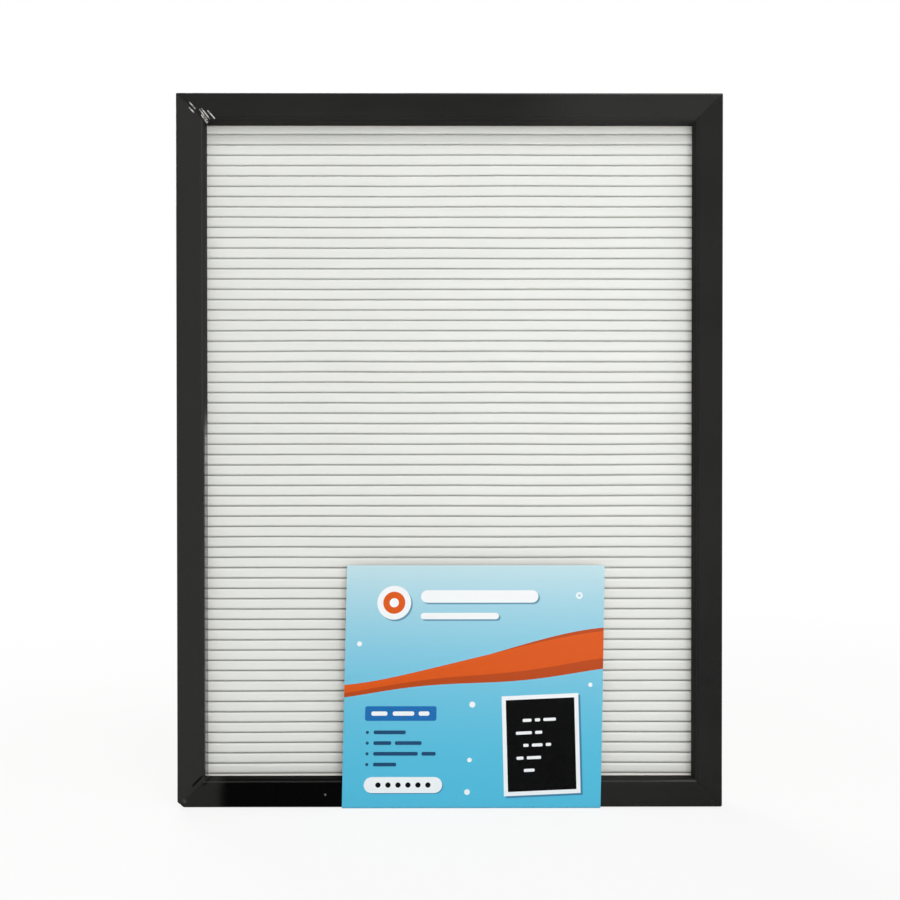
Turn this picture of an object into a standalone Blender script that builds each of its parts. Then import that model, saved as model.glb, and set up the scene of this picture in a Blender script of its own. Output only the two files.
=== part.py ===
"""A letter board: a white grooved plastic panel in a black frame of foil-wrapped board.

The board stands upright on the fold of the label card that wraps round its bottom rail.
X runs to the right as seen from the front, Z is up, and the front faces -Y.
The origin is under the middle of the board, on the surface that it stands on.
All sizes are in metres.
"""

import math

import bmesh
import bpy
from mathutils import Matrix, Vector

MM = 0.001
GAP = 0.3 * MM
WELD_WITHIN = 0.01 * MM
SHARP_ABOVE = math.radians(30)

# Frame: four mitred lengths of one L-shaped moulding
FRAME_WIDTH = 306 * MM
FRAME_HEIGHT = 400 * MM
FRAME_DEPTH = 18 * MM
RAIL_FACE = 15.6 * MM
LIP_DEPTH = 9 * MM
RABBET = 6.6 * MM
OUTER_ROUND = 1.0 * MM
INNER_ROUND = 2.5 * MM
BACK_ROUND = 0.5 * MM
ARC_STEPS = 8
MITRE_PULL = GAP / 2 * math.sqrt(2)
CORNER_WEAR = (0.8 * MM, 0.8 * MM)
CORNER_BRUISE = (4.0 * MM, 3.3 * MM)

# Letter panel: level ribs with a slot between each two for the tabs of the letters.
# The top slot lies behind the frame's lip, and its height is above the frame's lower edge.
PANEL_THICK = 3.5 * MM
GROOVE_PITCH = 5.86 * MM
GROOVE_COUNT = 64
TOP_GROOVE = 385.86 * MM
GROOVE_WIDTH = 0.8 * MM
GROOVE_DEPTH = 2.2 * MM
SHOULDER_RUN = 1.4 * MM
SHOULDER_DROP = 0.6 * MM
SHOULDER_STEPS = 4

# Hardboard backing behind the panel
BACKING_THICK = 2.5 * MM
BACKING_EDGE = 0.3 * MM

# Steel points shot into the rails, which hold the backing in
POINT_SHEET = 0.5 * MM
POINT_WIDTH = 8 * MM
POINT_BURIED = 5 * MM
POINT_SHOWN = 8 * MM
POINTS_ON_SHORT_SIDE = 2
POINTS_ON_LONG_SIDE = 3

# Folded steel nails across the mitres, driven in from behind
VNAIL_LEG = 4.2 * MM
VNAIL_SHEET = 0.6 * MM
VNAIL_LONG = 7 * MM
VNAIL_SUNK = 0.3 * MM
VNAIL_INSET = 3.8 * MM

# Sawtooth hanger on the back of the top rail
HANGER_LONG = 42 * MM
HANGER_HIGH = 7.6 * MM
HANGER_SHEET = 0.8 * MM
HANGER_RISE = 1.2 * MM
HANGER_BRIDGE = 28 * MM
HANGER_RAMP = 1.5 * MM
HANGER_END_ROUND = 3 * MM
TOOTH_COUNT = 10
TOOTH_PITCH = 2.2 * MM
TOOTH_HIGH = 1.4 * MM
NAIL_SPACING = 35 * MM
NAIL_HEAD_RADIUS = 1.5 * MM
NAIL_HEAD_THICK = 0.6 * MM
NAIL_SHANK_RADIUS = 0.6 * MM
NAIL_LONG = 9 * MM
NAIL_TIP = 1.5 * MM
NAIL_SIDES = 16

# Label card: one sheet, folded under the bottom rail and up its back
CARD_SHEET = 0.4 * MM
CARD_WIDTH = 145 * MM
CARD_HEIGHT = 136 * MM
CARD_BACK_HEIGHT = 60 * MM
CARD_OFFSET = 11.9 * MM
CARD_SKEW = 2.8 * MM
CARD_LEAN = 3.6 * MM
CARD_LEAN_POWER = 1.5
CARD_LEAN_STEPS = 8

# Places that follow from the sizes
STAND_OUT = GAP + HANGER_SHEET + HANGER_RISE
WHOLE_DEPTH = CARD_SHEET + GAP + FRAME_DEPTH + STAND_OUT
FRONT_Y = CARD_SHEET + GAP - WHOLE_DEPTH / 2
BACK_Y = FRONT_Y + FRAME_DEPTH
FOOT_Z = CARD_SHEET + GAP
MIDDLE_Z = FOOT_Z + FRAME_HEIGHT / 2
WALL = RAIL_FACE - RABBET
PANEL_WIDTH = FRAME_WIDTH - 2 * (WALL + GAP)
PANEL_HEIGHT = FRAME_HEIGHT - 2 * (WALL + GAP)
PANEL_FRONT = LIP_DEPTH + GAP
BACKING_FRONT = PANEL_FRONT + PANEL_THICK + GAP
POINT_FRONT = BACKING_FRONT + BACKING_THICK + GAP
CUT_BEYOND = 2 * MM

# Each side's middle on the front plane, its turn about Y from the left side, and its outer length
SIDES = {
    "left": ((-FRAME_WIDTH / 2, MIDDLE_Z), 0, FRAME_HEIGHT),
    "bottom": ((0, FOOT_Z), -90, FRAME_WIDTH),
    "right": ((FRAME_WIDTH / 2, MIDDLE_Z), 180, FRAME_HEIGHT),
    "top": ((0, FOOT_Z + FRAME_HEIGHT), 90, FRAME_WIDTH),
}

# Each corner: the two sides that meet there, and its turn about Y from the bottom left corner
CORNERS = {
    "bottom_left": ("left", "bottom", -1, -1, 0),
    "bottom_right": ("right", "bottom", 1, -1, -90),
    "top_right": ("right", "top", 1, 1, 180),
    "top_left": ("left", "top", -1, 1, 90),
}

# Turns a flat outline drawn in X and Y so that it lies in X and Z
TO_UPRIGHT = Matrix.Rotation(math.radians(90), 4, "X")
# Turns a section drawn as depth and height so that it runs along X
TO_ALONG_X = Matrix(((0, 0, 1, 0), (1, 0, 0, 0), (0, 1, 0, 0), (0, 0, 0, 1)))


def clear_scene():
    for old in list(bpy.data.objects):
        bpy.data.objects.remove(old)


def new_collection(name):
    collection = bpy.data.collections.new(name)
    bpy.context.scene.collection.children.link(collection)
    return collection


def new_material(name, colour, roughness, metallic=0.0):
    material = bpy.data.materials.new(name)
    material.use_nodes = True
    shader = material.node_tree.nodes["Principled BSDF"]
    shader.inputs["Base Color"].default_value = (*colour, 1)
    shader.inputs["Roughness"].default_value = roughness
    shader.inputs["Metallic"].default_value = metallic
    return material


def new_object(name, mesh, collection, matrix=None):
    piece = bpy.data.objects.new(name, mesh)
    collection.objects.link(piece)
    if matrix is not None:
        piece.matrix_world = matrix
    return piece


def new_part(name, mesh, material, matrix=None):
    mesh.materials.append(material)
    return new_object(name, mesh, parts, matrix)


def new_cutter(name, mesh, matrix=None):
    cutter = new_object(name, mesh, cutters, matrix)
    cutter.hide_render = True
    cutter.display_type = "WIRE"
    return cutter


def cut(piece, cutter):
    boolean = piece.modifiers.new(cutter.name, "BOOLEAN")
    boolean.operation = "DIFFERENCE"
    boolean.solver = "EXACT"
    boolean.object = cutter


def rounded(corners):
    """Points of a closed outline from (x, y, radius) corners; a corner with a radius becomes an arc."""
    points = []
    for place, (x, y, radius) in enumerate(corners):
        here = Vector((x, y))
        if not radius:
            points.append(here)
            continue
        before = (Vector(corners[place - 1][:2]) - here).normalized()
        after = (Vector(corners[(place + 1) % len(corners)][:2]) - here).normalized()
        half_angle = before.angle(after) / 2
        centre = here + (before + after).normalized() * radius / math.sin(half_angle)
        start = here + before * radius / math.tan(half_angle) - centre
        sweep = math.pi - 2 * half_angle
        turn = math.copysign(sweep, after.cross(before))
        for step in range(ARC_STEPS + 1):
            points.append(centre + Matrix.Rotation(turn * step / ARC_STEPS, 2) @ start)
    return points


def extruded(name, outline, length):
    """The outline in X and Y, filled and extruded by length along Z about its middle, as a closed mesh."""
    curve = bpy.data.curves.new(name, "CURVE")
    curve.dimensions = "2D"
    curve.fill_mode = "BOTH"
    curve.extrude = length / 2
    spline = curve.splines.new("POLY")
    spline.points.add(len(outline) - 1)
    for point, (x, y) in zip(spline.points, outline):
        point.co = (x, y, 0, 1)
    spline.use_cyclic_u = True
    holder = new_object(name, curve, cutters)
    bpy.context.view_layer.update()
    graph = bpy.context.evaluated_depsgraph_get()
    mesh = bpy.data.meshes.new_from_object(holder.evaluated_get(graph))
    bpy.data.objects.remove(holder)
    weld(mesh)
    return mesh


def weld(mesh):
    """Joins the caps of a filled curve to its sides."""
    shape = bmesh.new()
    shape.from_mesh(mesh)
    bmesh.ops.remove_doubles(shape, verts=shape.verts, dist=WELD_WITHIN)
    bmesh.ops.recalc_face_normals(shape, faces=shape.faces)
    shape.to_mesh(mesh)
    shape.free()


def block(name, x_size, y_size, z_size):
    """A box about its own middle, as a mesh."""
    shape = bmesh.new()
    bmesh.ops.create_cube(shape, size=1)
    bmesh.ops.scale(shape, vec=(x_size, y_size, z_size), verts=shape.verts)
    mesh = bpy.data.meshes.new(name)
    shape.to_mesh(mesh)
    shape.free()
    return mesh


def round_edges(piece, width, segments):
    bevel = piece.modifiers.new("edges", "BEVEL")
    bevel.width = width
    bevel.segments = segments


def on_side(side, inward, depth, along):
    """Where a piece sits on a side: inward from its outer face, back from the front, along its length."""
    (x, z), degrees, _ = SIDES[side]
    turn = Matrix.Rotation(math.radians(degrees), 4, "Y")
    place = Matrix.Translation((x, FRONT_Y, z))
    return place @ turn @ Matrix.Translation((inward, depth, along))


def at_corner(corner, inset, depth):
    """Where a piece sits at a corner of the frame, inset from both outer faces."""
    _, _, x_sign, z_sign, degrees = CORNERS[corner]
    x = x_sign * (FRAME_WIDTH / 2 - inset)
    z = MIDDLE_Z + z_sign * (FRAME_HEIGHT / 2 - inset)
    turn = Matrix.Rotation(math.radians(degrees), 4, "Y")
    return Matrix.Translation((x, FRONT_Y + depth, z)) @ turn


def moulding_section():
    """The L-shaped section: a lip in front, and behind it a rabbet that takes panel and backing."""
    return rounded(
        [
            (0, 0, OUTER_ROUND),
            (RAIL_FACE, 0, INNER_ROUND),
            (RAIL_FACE, LIP_DEPTH, BACK_ROUND),
            (WALL, LIP_DEPTH, 0),
            (WALL, FRAME_DEPTH, BACK_ROUND),
            (0, FRAME_DEPTH, BACK_ROUND),
        ]
    )


def build_rail(side):
    """One length of moulding, with its ends cut back at 45 degrees."""
    outer_length = SIDES[side][2]
    mesh = extruded(f"rail_{side}", moulding_section(), outer_length)
    for vertex in mesh.vertices:
        x, y, z = vertex.co
        end = outer_length / 2 - MITRE_PULL - x
        vertex.co = (x, y, math.copysign(end, z))
    rail = new_part(f"rail_{side}", mesh, foil, on_side(side, 0, 0, 0))
    mesh.shade_smooth()
    mesh.set_sharp_from_angle(angle=SHARP_ABOVE)
    return rail


def wear_corners(rails):
    """The outer corners are rubbed off a little, and the bottom left one was knocked."""
    for corner, (first, second, _, _, _) in CORNERS.items():
        run, rise = CORNER_BRUISE if corner == "bottom_left" else CORNER_WEAR
        triangle = [
            (-CUT_BEYOND, -CUT_BEYOND),
            (run + CUT_BEYOND * run / rise, -CUT_BEYOND),
            (-CUT_BEYOND, rise + CUT_BEYOND * rise / run),
        ]
        mesh = extruded(f"wear_{corner}", triangle, FRAME_DEPTH + 2 * CUT_BEYOND)
        mesh.transform(TO_UPRIGHT)
        cutter = new_cutter(f"wear_{corner}", mesh, at_corner(corner, 0, FRAME_DEPTH / 2))
        cut(rails[first], cutter)
        cut(rails[second], cutter)


def vnail_outline(extra):
    """A folded strip seen from its end: two legs that meet at the mitre, grown all round by extra."""
    near, far = -extra, VNAIL_LEG + extra
    inner = VNAIL_SHEET + extra
    return [(near, near), (far, near), (far, inner), (inner, inner), (inner, far), (near, far)]


def build_vnails(rails):
    """One folded nail across each mitre, sunk into the back of the frame, in a pocket of both rails."""
    for corner, (first, second, _, _, _) in CORNERS.items():
        name = f"vnail_{corner}"
        mesh = extruded(name, vnail_outline(0), VNAIL_LONG)
        mesh.transform(TO_UPRIGHT)
        middle = FRAME_DEPTH - VNAIL_SUNK - VNAIL_LONG / 2
        new_part(name, mesh, steel, at_corner(corner, VNAIL_INSET, middle))
        pocket_long = VNAIL_LONG + VNAIL_SUNK + GAP + CUT_BEYOND
        pocket = extruded(f"pocket_{name}", vnail_outline(GAP), pocket_long)
        pocket.transform(TO_UPRIGHT)
        pocket_middle = FRAME_DEPTH + CUT_BEYOND - pocket_long / 2
        cutter = new_cutter(f"pocket_{name}", pocket, at_corner(corner, VNAIL_INSET, pocket_middle))
        cut(rails[first], cutter)
        cut(rails[second], cutter)


def panel_section():
    """Depth and height of the panel's outline: the slotted front from the top down, then the flat back."""
    top = (FRAME_HEIGHT + PANEL_HEIGHT) / 2
    bottom = (FRAME_HEIGHT - PANEL_HEIGHT) / 2
    points = [(PANEL_THICK, top), (0, top)]
    for groove in range(GROOVE_COUNT):
        points += slot_section(TOP_GROOVE - groove * GROOVE_PITCH)
    return [*points, (0, bottom), (PANEL_THICK, bottom)]


def slot_section(middle):
    """One slot, from the rib above it to the rib below, with the rounded shoulders of both ribs."""
    above, below = [], []
    for step in range(SHOULDER_STEPS + 1):
        angle = math.pi / 2 * step / SHOULDER_STEPS
        drop = SHOULDER_DROP * (1 - math.cos(angle))
        reach = GROOVE_WIDTH / 2 + SHOULDER_RUN * (1 - math.sin(angle))
        above.append((drop, middle + reach))
        below.append((drop, middle - reach))
    floor = [(GROOVE_DEPTH, middle + GROOVE_WIDTH / 2), (GROOVE_DEPTH, middle - GROOVE_WIDTH / 2)]
    return [*above, *floor, *reversed(below)]


def build_letter_panel():
    mesh = extruded("letter_panel", panel_section(), PANEL_WIDTH)
    mesh.transform(TO_ALONG_X)
    place = Matrix.Translation((0, FRONT_Y + PANEL_FRONT, FOOT_Z))
    new_part("letter_panel", mesh, plastic, place)
    mesh.shade_smooth()
    mesh.set_sharp_from_angle(angle=SHARP_ABOVE)


def build_backing():
    mesh = block("backing_board", PANEL_WIDTH, BACKING_THICK, PANEL_HEIGHT)
    place = Matrix.Translation((0, FRONT_Y + BACKING_FRONT + BACKING_THICK / 2, MIDDLE_Z))
    board = new_part("backing_board", mesh, hardboard, place)
    round_edges(board, BACKING_EDGE, 1)


def point_outline():
    """A steel point from above: a sharp end in the rail, and a square end over the backing."""
    half = POINT_WIDTH / 2
    return [
        (-POINT_BURIED, 0),
        (-POINT_BURIED / 2, -half),
        (POINT_SHOWN, -half),
        (POINT_SHOWN, half),
        (-POINT_BURIED / 2, half),
    ]


def build_points(rails):
    """Thin steel points, pushed into slots in the rabbet so that they lie over the backing."""
    outline = point_outline()
    for side, rail in rails.items():
        length = SIDES[side][2]
        count = POINTS_ON_LONG_SIDE if length == FRAME_HEIGHT else POINTS_ON_SHORT_SIDE
        for number in range(count):
            along = length * ((number + 0.5) / count - 0.5)
            name = f"point_{side}_{number + 1}"
            mesh = extruded(name, outline, POINT_SHEET)
            mesh.transform(TO_UPRIGHT)
            depth = POINT_FRONT + POINT_SHEET / 2
            new_part(name, mesh, steel, on_side(side, WALL, depth, along))
            slot_long = POINT_BURIED + GAP + CUT_BEYOND
            slot = block(f"slot_{name}", slot_long, POINT_SHEET + 2 * GAP, POINT_WIDTH + 2 * GAP)
            inward = WALL + CUT_BEYOND - slot_long / 2
            cut(rail, new_cutter(f"slot_{name}", slot, on_side(side, inward, depth, along)))


def hanger_outline():
    """The hanger seen from behind: rounded ends, a straight top edge and teeth along the bottom."""
    half_long, half_high = HANGER_LONG / 2, HANGER_HIGH / 2
    corners = [
        (half_long, half_high, HANGER_END_ROUND),
        (-half_long, half_high, HANGER_END_ROUND),
        (-half_long, -half_high, HANGER_END_ROUND),
    ]
    start = -TOOTH_COUNT * TOOTH_PITCH / 2
    for tooth in range(TOOTH_COUNT):
        corners.append((start + tooth * TOOTH_PITCH, -half_high, 0))
        corners.append((start + (tooth + 0.5) * TOOTH_PITCH, -half_high + TOOTH_HIGH, 0))
    corners.append((-start, -half_high, 0))
    corners.append((half_long, -half_high, HANGER_END_ROUND))
    return rounded(corners)


def raise_bridge(mesh):
    """Bends the hanger so that its middle stands off the rail and its ends lie on it."""
    shape = bmesh.new()
    shape.from_mesh(mesh)
    ramp_start, ramp_end = HANGER_BRIDGE / 2 + HANGER_RAMP, HANGER_BRIDGE / 2
    for x in (-ramp_start, -ramp_end, ramp_end, ramp_start):
        everything = [*shape.verts, *shape.edges, *shape.faces]
        bmesh.ops.bisect_plane(shape, geom=everything, plane_co=(x, 0, 0), plane_no=(1, 0, 0))
    for vertex in shape.verts:
        share = (ramp_start - abs(vertex.co.x)) / HANGER_RAMP
        vertex.co.y += HANGER_RISE * min(max(share, 0), 1)
    shape.to_mesh(mesh)
    shape.free()


def build_hanger(top_rail):
    mesh = extruded("sawtooth_hanger", hanger_outline(), HANGER_SHEET)
    mesh.transform(TO_UPRIGHT)
    raise_bridge(mesh)
    height = FOOT_Z + FRAME_HEIGHT - WALL / 2
    place = Matrix.Translation((0, BACK_Y + GAP + HANGER_SHEET / 2, height))
    hanger = new_part("sawtooth_hanger", mesh, steel, place)
    for side, sign in (("left", 1), ("right", -1)):
        x = sign * NAIL_SPACING / 2
        build_nail(f"hanger_nail_{side}", x, height)
        hole = nail_hole(f"nail_hole_{side}", x, height)
        cut(hanger, hole)
        cut(top_rail, hole)


def nail_hole(name, x, z):
    """A round hole through the hanger and into the rail, a little wider and deeper than the nail."""
    long = NAIL_LONG + 2 * GAP + HANGER_SHEET + 2 * CUT_BEYOND
    shape = bmesh.new()
    bmesh.ops.create_cone(
        shape,
        cap_ends=True,
        segments=NAIL_SIDES,
        radius1=NAIL_SHANK_RADIUS + GAP,
        radius2=NAIL_SHANK_RADIUS + GAP,
        depth=long,
    )
    mesh = bpy.data.meshes.new(name)
    shape.to_mesh(mesh)
    shape.free()
    mesh.transform(TO_UPRIGHT)
    end = BACK_Y + 2 * GAP + HANGER_SHEET + CUT_BEYOND
    return new_cutter(name, mesh, Matrix.Translation((x, end - long / 2, z)))


def build_nail(name, x, z):
    """A small nail with a flat head, turned about its own axis and driven in from behind."""
    outline = [
        (0, NAIL_HEAD_THICK),
        (NAIL_HEAD_RADIUS, NAIL_HEAD_THICK),
        (NAIL_HEAD_RADIUS, 0),
        (NAIL_SHANK_RADIUS, 0),
        (NAIL_SHANK_RADIUS, NAIL_TIP - NAIL_LONG),
        (0, -NAIL_LONG),
    ]
    mesh = bpy.data.meshes.new(name)
    edges = [(place, place + 1) for place in range(len(outline) - 1)]
    mesh.from_pydata([(radius, 0, height) for radius, height in outline], edges, [])
    head_y = BACK_Y + 2 * GAP + HANGER_SHEET
    to_back = Matrix.Rotation(math.radians(-90), 4, "X")
    nail = new_part(name, mesh, steel, Matrix.Translation((x, head_y, z)) @ to_back)
    turned = nail.modifiers.new("turned", "SCREW")
    turned.steps = NAIL_SIDES
    turned.render_steps = NAIL_SIDES
    turned.use_merge_vertices = True
    turned.merge_threshold = WELD_WITHIN


def arc(centre_y, centre_z, radius, start_degrees, end_degrees):
    """Points of an arc in the side view, as depth and height."""
    points = []
    for step in range(ARC_STEPS + 1):
        angle = math.radians(start_degrees + (end_degrees - start_degrees) * step / ARC_STEPS)
        points.append((centre_y + radius * math.cos(angle), centre_z + radius * math.sin(angle)))
    return points


def card_section():
    """The inner face of the card in the side view, from its top in front to its top behind."""
    front, back = FRONT_Y - GAP, BACK_Y + GAP
    rail_top = FOOT_Z + RAIL_FACE
    card_top = FOOT_Z - GAP + CARD_HEIGHT
    points = []
    for step in range(CARD_LEAN_STEPS, -1, -1):
        share = step / CARD_LEAN_STEPS
        lean = CARD_LEAN * share**CARD_LEAN_POWER
        points.append((front + lean, rail_top + (card_top - rail_top) * share))
    points += arc(FRONT_Y + OUTER_ROUND, FOOT_Z + OUTER_ROUND, OUTER_ROUND + GAP, 180, 270)
    points += arc(BACK_Y - BACK_ROUND, FOOT_Z + BACK_ROUND, BACK_ROUND + GAP, 270, 360)
    return [*points, (back, FOOT_Z - GAP + CARD_BACK_HEIGHT)]


def build_label_card():
    """A sheet bent along its section, and cut a little out of square, so that it skews to the right."""
    shape = bmesh.new()
    left = CARD_OFFSET - CARD_WIDTH / 2
    line = [shape.verts.new((left, y, z)) for y, z in card_section()]
    edges = [shape.edges.new(pair) for pair in zip(line, line[1:])]
    swept = bmesh.ops.extrude_edge_only(shape, edges=edges)["geom"]
    for vertex in (item for item in swept if isinstance(item, bmesh.types.BMVert)):
        vertex.co.x += CARD_WIDTH
    for vertex in shape.verts:
        vertex.co.x += CARD_SKEW * vertex.co.z / CARD_HEIGHT
    mesh = bpy.data.meshes.new("label_card")
    shape.to_mesh(mesh)
    shape.free()
    card = new_part("label_card", mesh, card_stock)
    sheet = card.modifiers.new("sheet", "SOLIDIFY")
    sheet.thickness = CARD_SHEET
    sheet.offset = -1
    sheet.use_even_offset = True


clear_scene()
parts = new_collection("letter_board")
cutters = new_collection("cutters")

foil = new_material("black_foil", (0.022, 0.022, 0.021), 0.32)
plastic = new_material("white_plastic", (0.81, 0.82, 0.79), 0.38)
hardboard = new_material("hardboard", (0.22, 0.125, 0.062), 0.75)
steel = new_material("zinc_plated_steel", (0.55, 0.56, 0.57), 0.35, 1.0)
card_stock = new_material("printed_card", (0.28, 0.62, 0.78), 0.35)

frame_rails = {side: build_rail(side) for side in SIDES}
wear_corners(frame_rails)
build_vnails(frame_rails)
build_letter_panel()
build_backing()
build_points(frame_rails)
build_hanger(frame_rails["top"])
build_label_card()
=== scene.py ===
"""The looks of a letter board: a slotted white panel in a black foil-wrapped frame, with a label card.

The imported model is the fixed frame. The board's front faces -Y, X runs to the right and Z is up.
Sizes are in metres. Patterns and prints are laid out in millimetres.
"""

import math
from functools import partial

import bpy
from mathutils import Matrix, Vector, noise
from mathutils.geometry import delaunay_2d_cdt


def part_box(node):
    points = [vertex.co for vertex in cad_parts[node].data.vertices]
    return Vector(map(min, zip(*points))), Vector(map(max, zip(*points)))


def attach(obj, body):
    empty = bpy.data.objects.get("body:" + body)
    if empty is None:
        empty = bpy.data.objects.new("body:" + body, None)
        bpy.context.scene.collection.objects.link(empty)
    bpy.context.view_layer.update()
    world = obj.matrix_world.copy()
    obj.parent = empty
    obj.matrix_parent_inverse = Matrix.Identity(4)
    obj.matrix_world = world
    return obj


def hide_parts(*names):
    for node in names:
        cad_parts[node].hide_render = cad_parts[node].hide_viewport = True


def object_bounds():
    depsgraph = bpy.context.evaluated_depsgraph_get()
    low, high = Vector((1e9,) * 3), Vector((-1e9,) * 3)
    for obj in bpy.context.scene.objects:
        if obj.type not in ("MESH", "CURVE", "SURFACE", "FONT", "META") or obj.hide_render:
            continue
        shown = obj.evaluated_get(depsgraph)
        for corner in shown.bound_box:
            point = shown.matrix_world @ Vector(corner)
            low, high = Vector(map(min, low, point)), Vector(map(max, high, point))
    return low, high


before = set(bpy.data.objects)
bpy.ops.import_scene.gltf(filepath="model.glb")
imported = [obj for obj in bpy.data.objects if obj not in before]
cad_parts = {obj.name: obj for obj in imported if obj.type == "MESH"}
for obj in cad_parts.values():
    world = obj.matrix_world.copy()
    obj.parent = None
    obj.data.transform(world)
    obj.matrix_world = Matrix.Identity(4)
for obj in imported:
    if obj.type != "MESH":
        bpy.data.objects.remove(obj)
cad_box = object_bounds()

MM = 0.001

# Frame moulding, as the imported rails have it
RAIL_FACE = 15.6 * MM
RAIL_WALL = 9 * MM
LIP_DEPTH = 9 * MM
OUTER_ROUND = 1.0 * MM
INNER_ROUND = 2.5 * MM
BACK_ROUND = 0.5 * MM
FRONT_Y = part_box("rail_left")[0].y
BACK_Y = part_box("rail_left")[1].y
FOOT_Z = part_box("rail_bottom")[0].z
TOP_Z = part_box("rail_top")[1].z
HALF_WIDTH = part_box("rail_right")[1].x
HALF_HEIGHT = (TOP_Z - FOOT_Z) / 2
MIDDLE_Z = (TOP_Z + FOOT_Z) / 2

# Letter panel
SLOT_PITCH = 5.86 * MM
SLOT_COUNT = 64
FIRST_SLOT = 4.84 * MM
SLOT_WIDTH = 0.8 * MM
SLOT_DEPTH = 2.2 * MM
SHOULDER_RUN = 1.4 * MM
SHOULDER_DROP = 0.6 * MM
SHOULDER_STEPS = 7
PANEL_STATIONS = 36
SLOT_SWAY = 0.28 * MM
SLOT_SWAY_LENGTH = 70 * MM
RIB_SINK = 0.07 * MM
RIB_SINK_LENGTH = 28 * MM
SWELL_ROW_STEP = 0.17
SWELL_PLACE = 3.7

# Edges that turn by more than this are shaded sharp
SHARP_ABOVE = math.radians(35)

# Label card
CARD_SHEET = 0.4 * MM
CARD_GAP = 0.3 * MM
CARD_WIDTH = 145 * MM
CARD_HEIGHT = 136 * MM
CARD_BACK_HEIGHT = 60 * MM
CARD_SKEW = 2.8 * MM
CARD_LEAN = 3.6 * MM
CARD_LEAN_POWER = 1.5
CARD_LEAN_STEPS = 12
ARC_STEPS = 8
SHADE_FADING = 2.5

# Mitre joints: glue fills the gap between two rails, from the front to just short of the corner nails,
# and stops short of the worn or bruised corner
MITRE_GAP = 0.3 * MM
GLUE_SUNK = 0.06 * MM
GLUE_DEPTH = 10.3 * MM
GLUE_CLEAR = 0.02 * MM
GLUE_END_RUN = 0.6 * MM
GLUE_END_DROP = 0.4 * MM
CORNER_WEAR = 0.4 * MM
CORNER_BRUISE = 1.81 * MM
MITRE_CUT_SEEN = 0.24 * MM

# Foil: how far it is turned over onto the back, its gloss, the height above which the left rail's inner
# edge is rubbed dull, with the fade there, and between which X, in millimetres, the bottom rail turns
# glossy and painted near-black, as a painted dark reflection, and stops being so
FOIL_TURNOVER = 5 * MM
COAT_WEIGHT = 0.6
RUBBED_Z = 215 * MM
RUBBED_FADE = 12 * MM
PAINTED_BLACK_START = (-133, -124)
PAINTED_BLACK_STOP = (-35, -50)

# Pleats of foil beside the upper left mitre, in millimetres: across the mitre at their start and at their
# end, then along it from start to end. Along is the sum, and across the difference, of the distances from
# the frame's side edge and from its end edge
PLEATS = (
    (4.1, 2.3, 22.5, 33.4),
    (5.6, 4.3, 22.9, 34.1),
    (7.8, 7.3, 27.6, 36.7),
    (2.0, 0.9, 26.5, 33.6),
    (2.3, 1.8, 12.7, 20.6),
    (-0.8, -0.9, 15.9, 22.1),
)
PLEAT_HEIGHT = 0.13 * MM
PLEAT_WIDTH = 0.9 * MM
PLEAT_SUNK = 0.02 * MM
PLEAT_ROOT = 0.1 * MM
PLEAT_STATIONS = 14
PLEAT_STEPS = 8

# Marks, in millimetres: dark lines beside the lower left mitre, painted as dark reflections, as across,
# start and end along it, and light specks on the bottom rail, as x, z, radius and strength
PAINTED_DARK_LINES = ((-3.4, 19.5, 33), (2.1, 25.5, 35))
SPECKS = ((-69.9, 7.9, 0.8, 0.35), (-148.9, 4.4, 1.5, 0.12))

# Camera, with its turns in degrees and its sensor's width in millimetres
CAMERA_DISTANCE = 580 * MM
CAMERA_X = -1.6 * MM
CAMERA_Z = 175.4 * MM
CAMERA_PITCH = -0.44
CAMERA_YAW = -0.17
CAMERA_ROLL = 0.02
CAMERA_SHIFT = 0.06
SEEN_WIDTH = 503.9 * MM
SENSOR = 36

# Lamps: place, width and height in metres, and power in watts
TOP_LAMP = ((0.5, -1.5, 2.3), 3.6, 0.5, 30.5)
FRONT_LAMP = ((0.33, -1.13, 0.31), 0.7, 0.7, 5.8)
BACK_LAMP = ((-0.6, 1.3, 1.2), 1.0, 1.0, 15)

# Strength of the room's light from above and from below, and sizes of the floor and the tent in metres
ROOM_ABOVE = 0.3
ROOM_BELOW = 0.22
FLOOR_SIZE = 8
FLOOR_BELOW = 0.05 * MM
FLOOR_GLOW = 0.85
FLOOR_NEAR = 0.3
FLOOR_FAR = 1.1
TENT_COLOUR = "#2A2A2A"
TENT_OVERLAP = 30 * MM
TENT_BELOW = 0.02 * MM
TENT_REACH = 2.2
TENT_ROUND = 0.8
TENT_HEIGHT = 2.6
TENT_WIDTH = 5.0
TENT_STEPS = 12


# Small helpers


def linear(colour):
    """An sRGB hex colour such as #2B2B2A, as linear RGBA."""
    channels = (int(colour[place : place + 2], 16) / 255 for place in (1, 3, 5))
    return (*(c / 12.92 if c <= 0.04045 else ((c + 0.055) / 1.055) ** 2.4 for c in channels), 1)


def feed(tree, socket, value):
    """Gives a socket a plain value, an sRGB hex colour, an output, or the first open output of a node."""
    if isinstance(value, bpy.types.Node):
        value = next(output for output in value.outputs if output.enabled)
    if isinstance(value, bpy.types.NodeSocket):
        tree.links.new(value, socket)
    else:
        socket.default_value = linear(value) if isinstance(value, str) else value


def add_node(material, kind, *feeds, **named):
    """Adds a shader node to a material or to the world. The plain feeds go to its open inputs in order.
    A name is one of its settings or else an input, with _ for a space."""
    made = material.node_tree.nodes.new("ShaderNode" + kind)
    inputs = {}
    for name, value in named.items():
        if name in made.bl_rna.properties:
            setattr(made, name, value)
        else:
            inputs[name.replace("_", " ")] = value
    fed = [*zip((socket for socket in made.inputs if socket.enabled), feeds)]
    fed += [(made.inputs[name], value) for name, value in inputs.items()]
    for socket, value in fed:
        feed(material.node_tree, socket, value)
    return made


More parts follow.
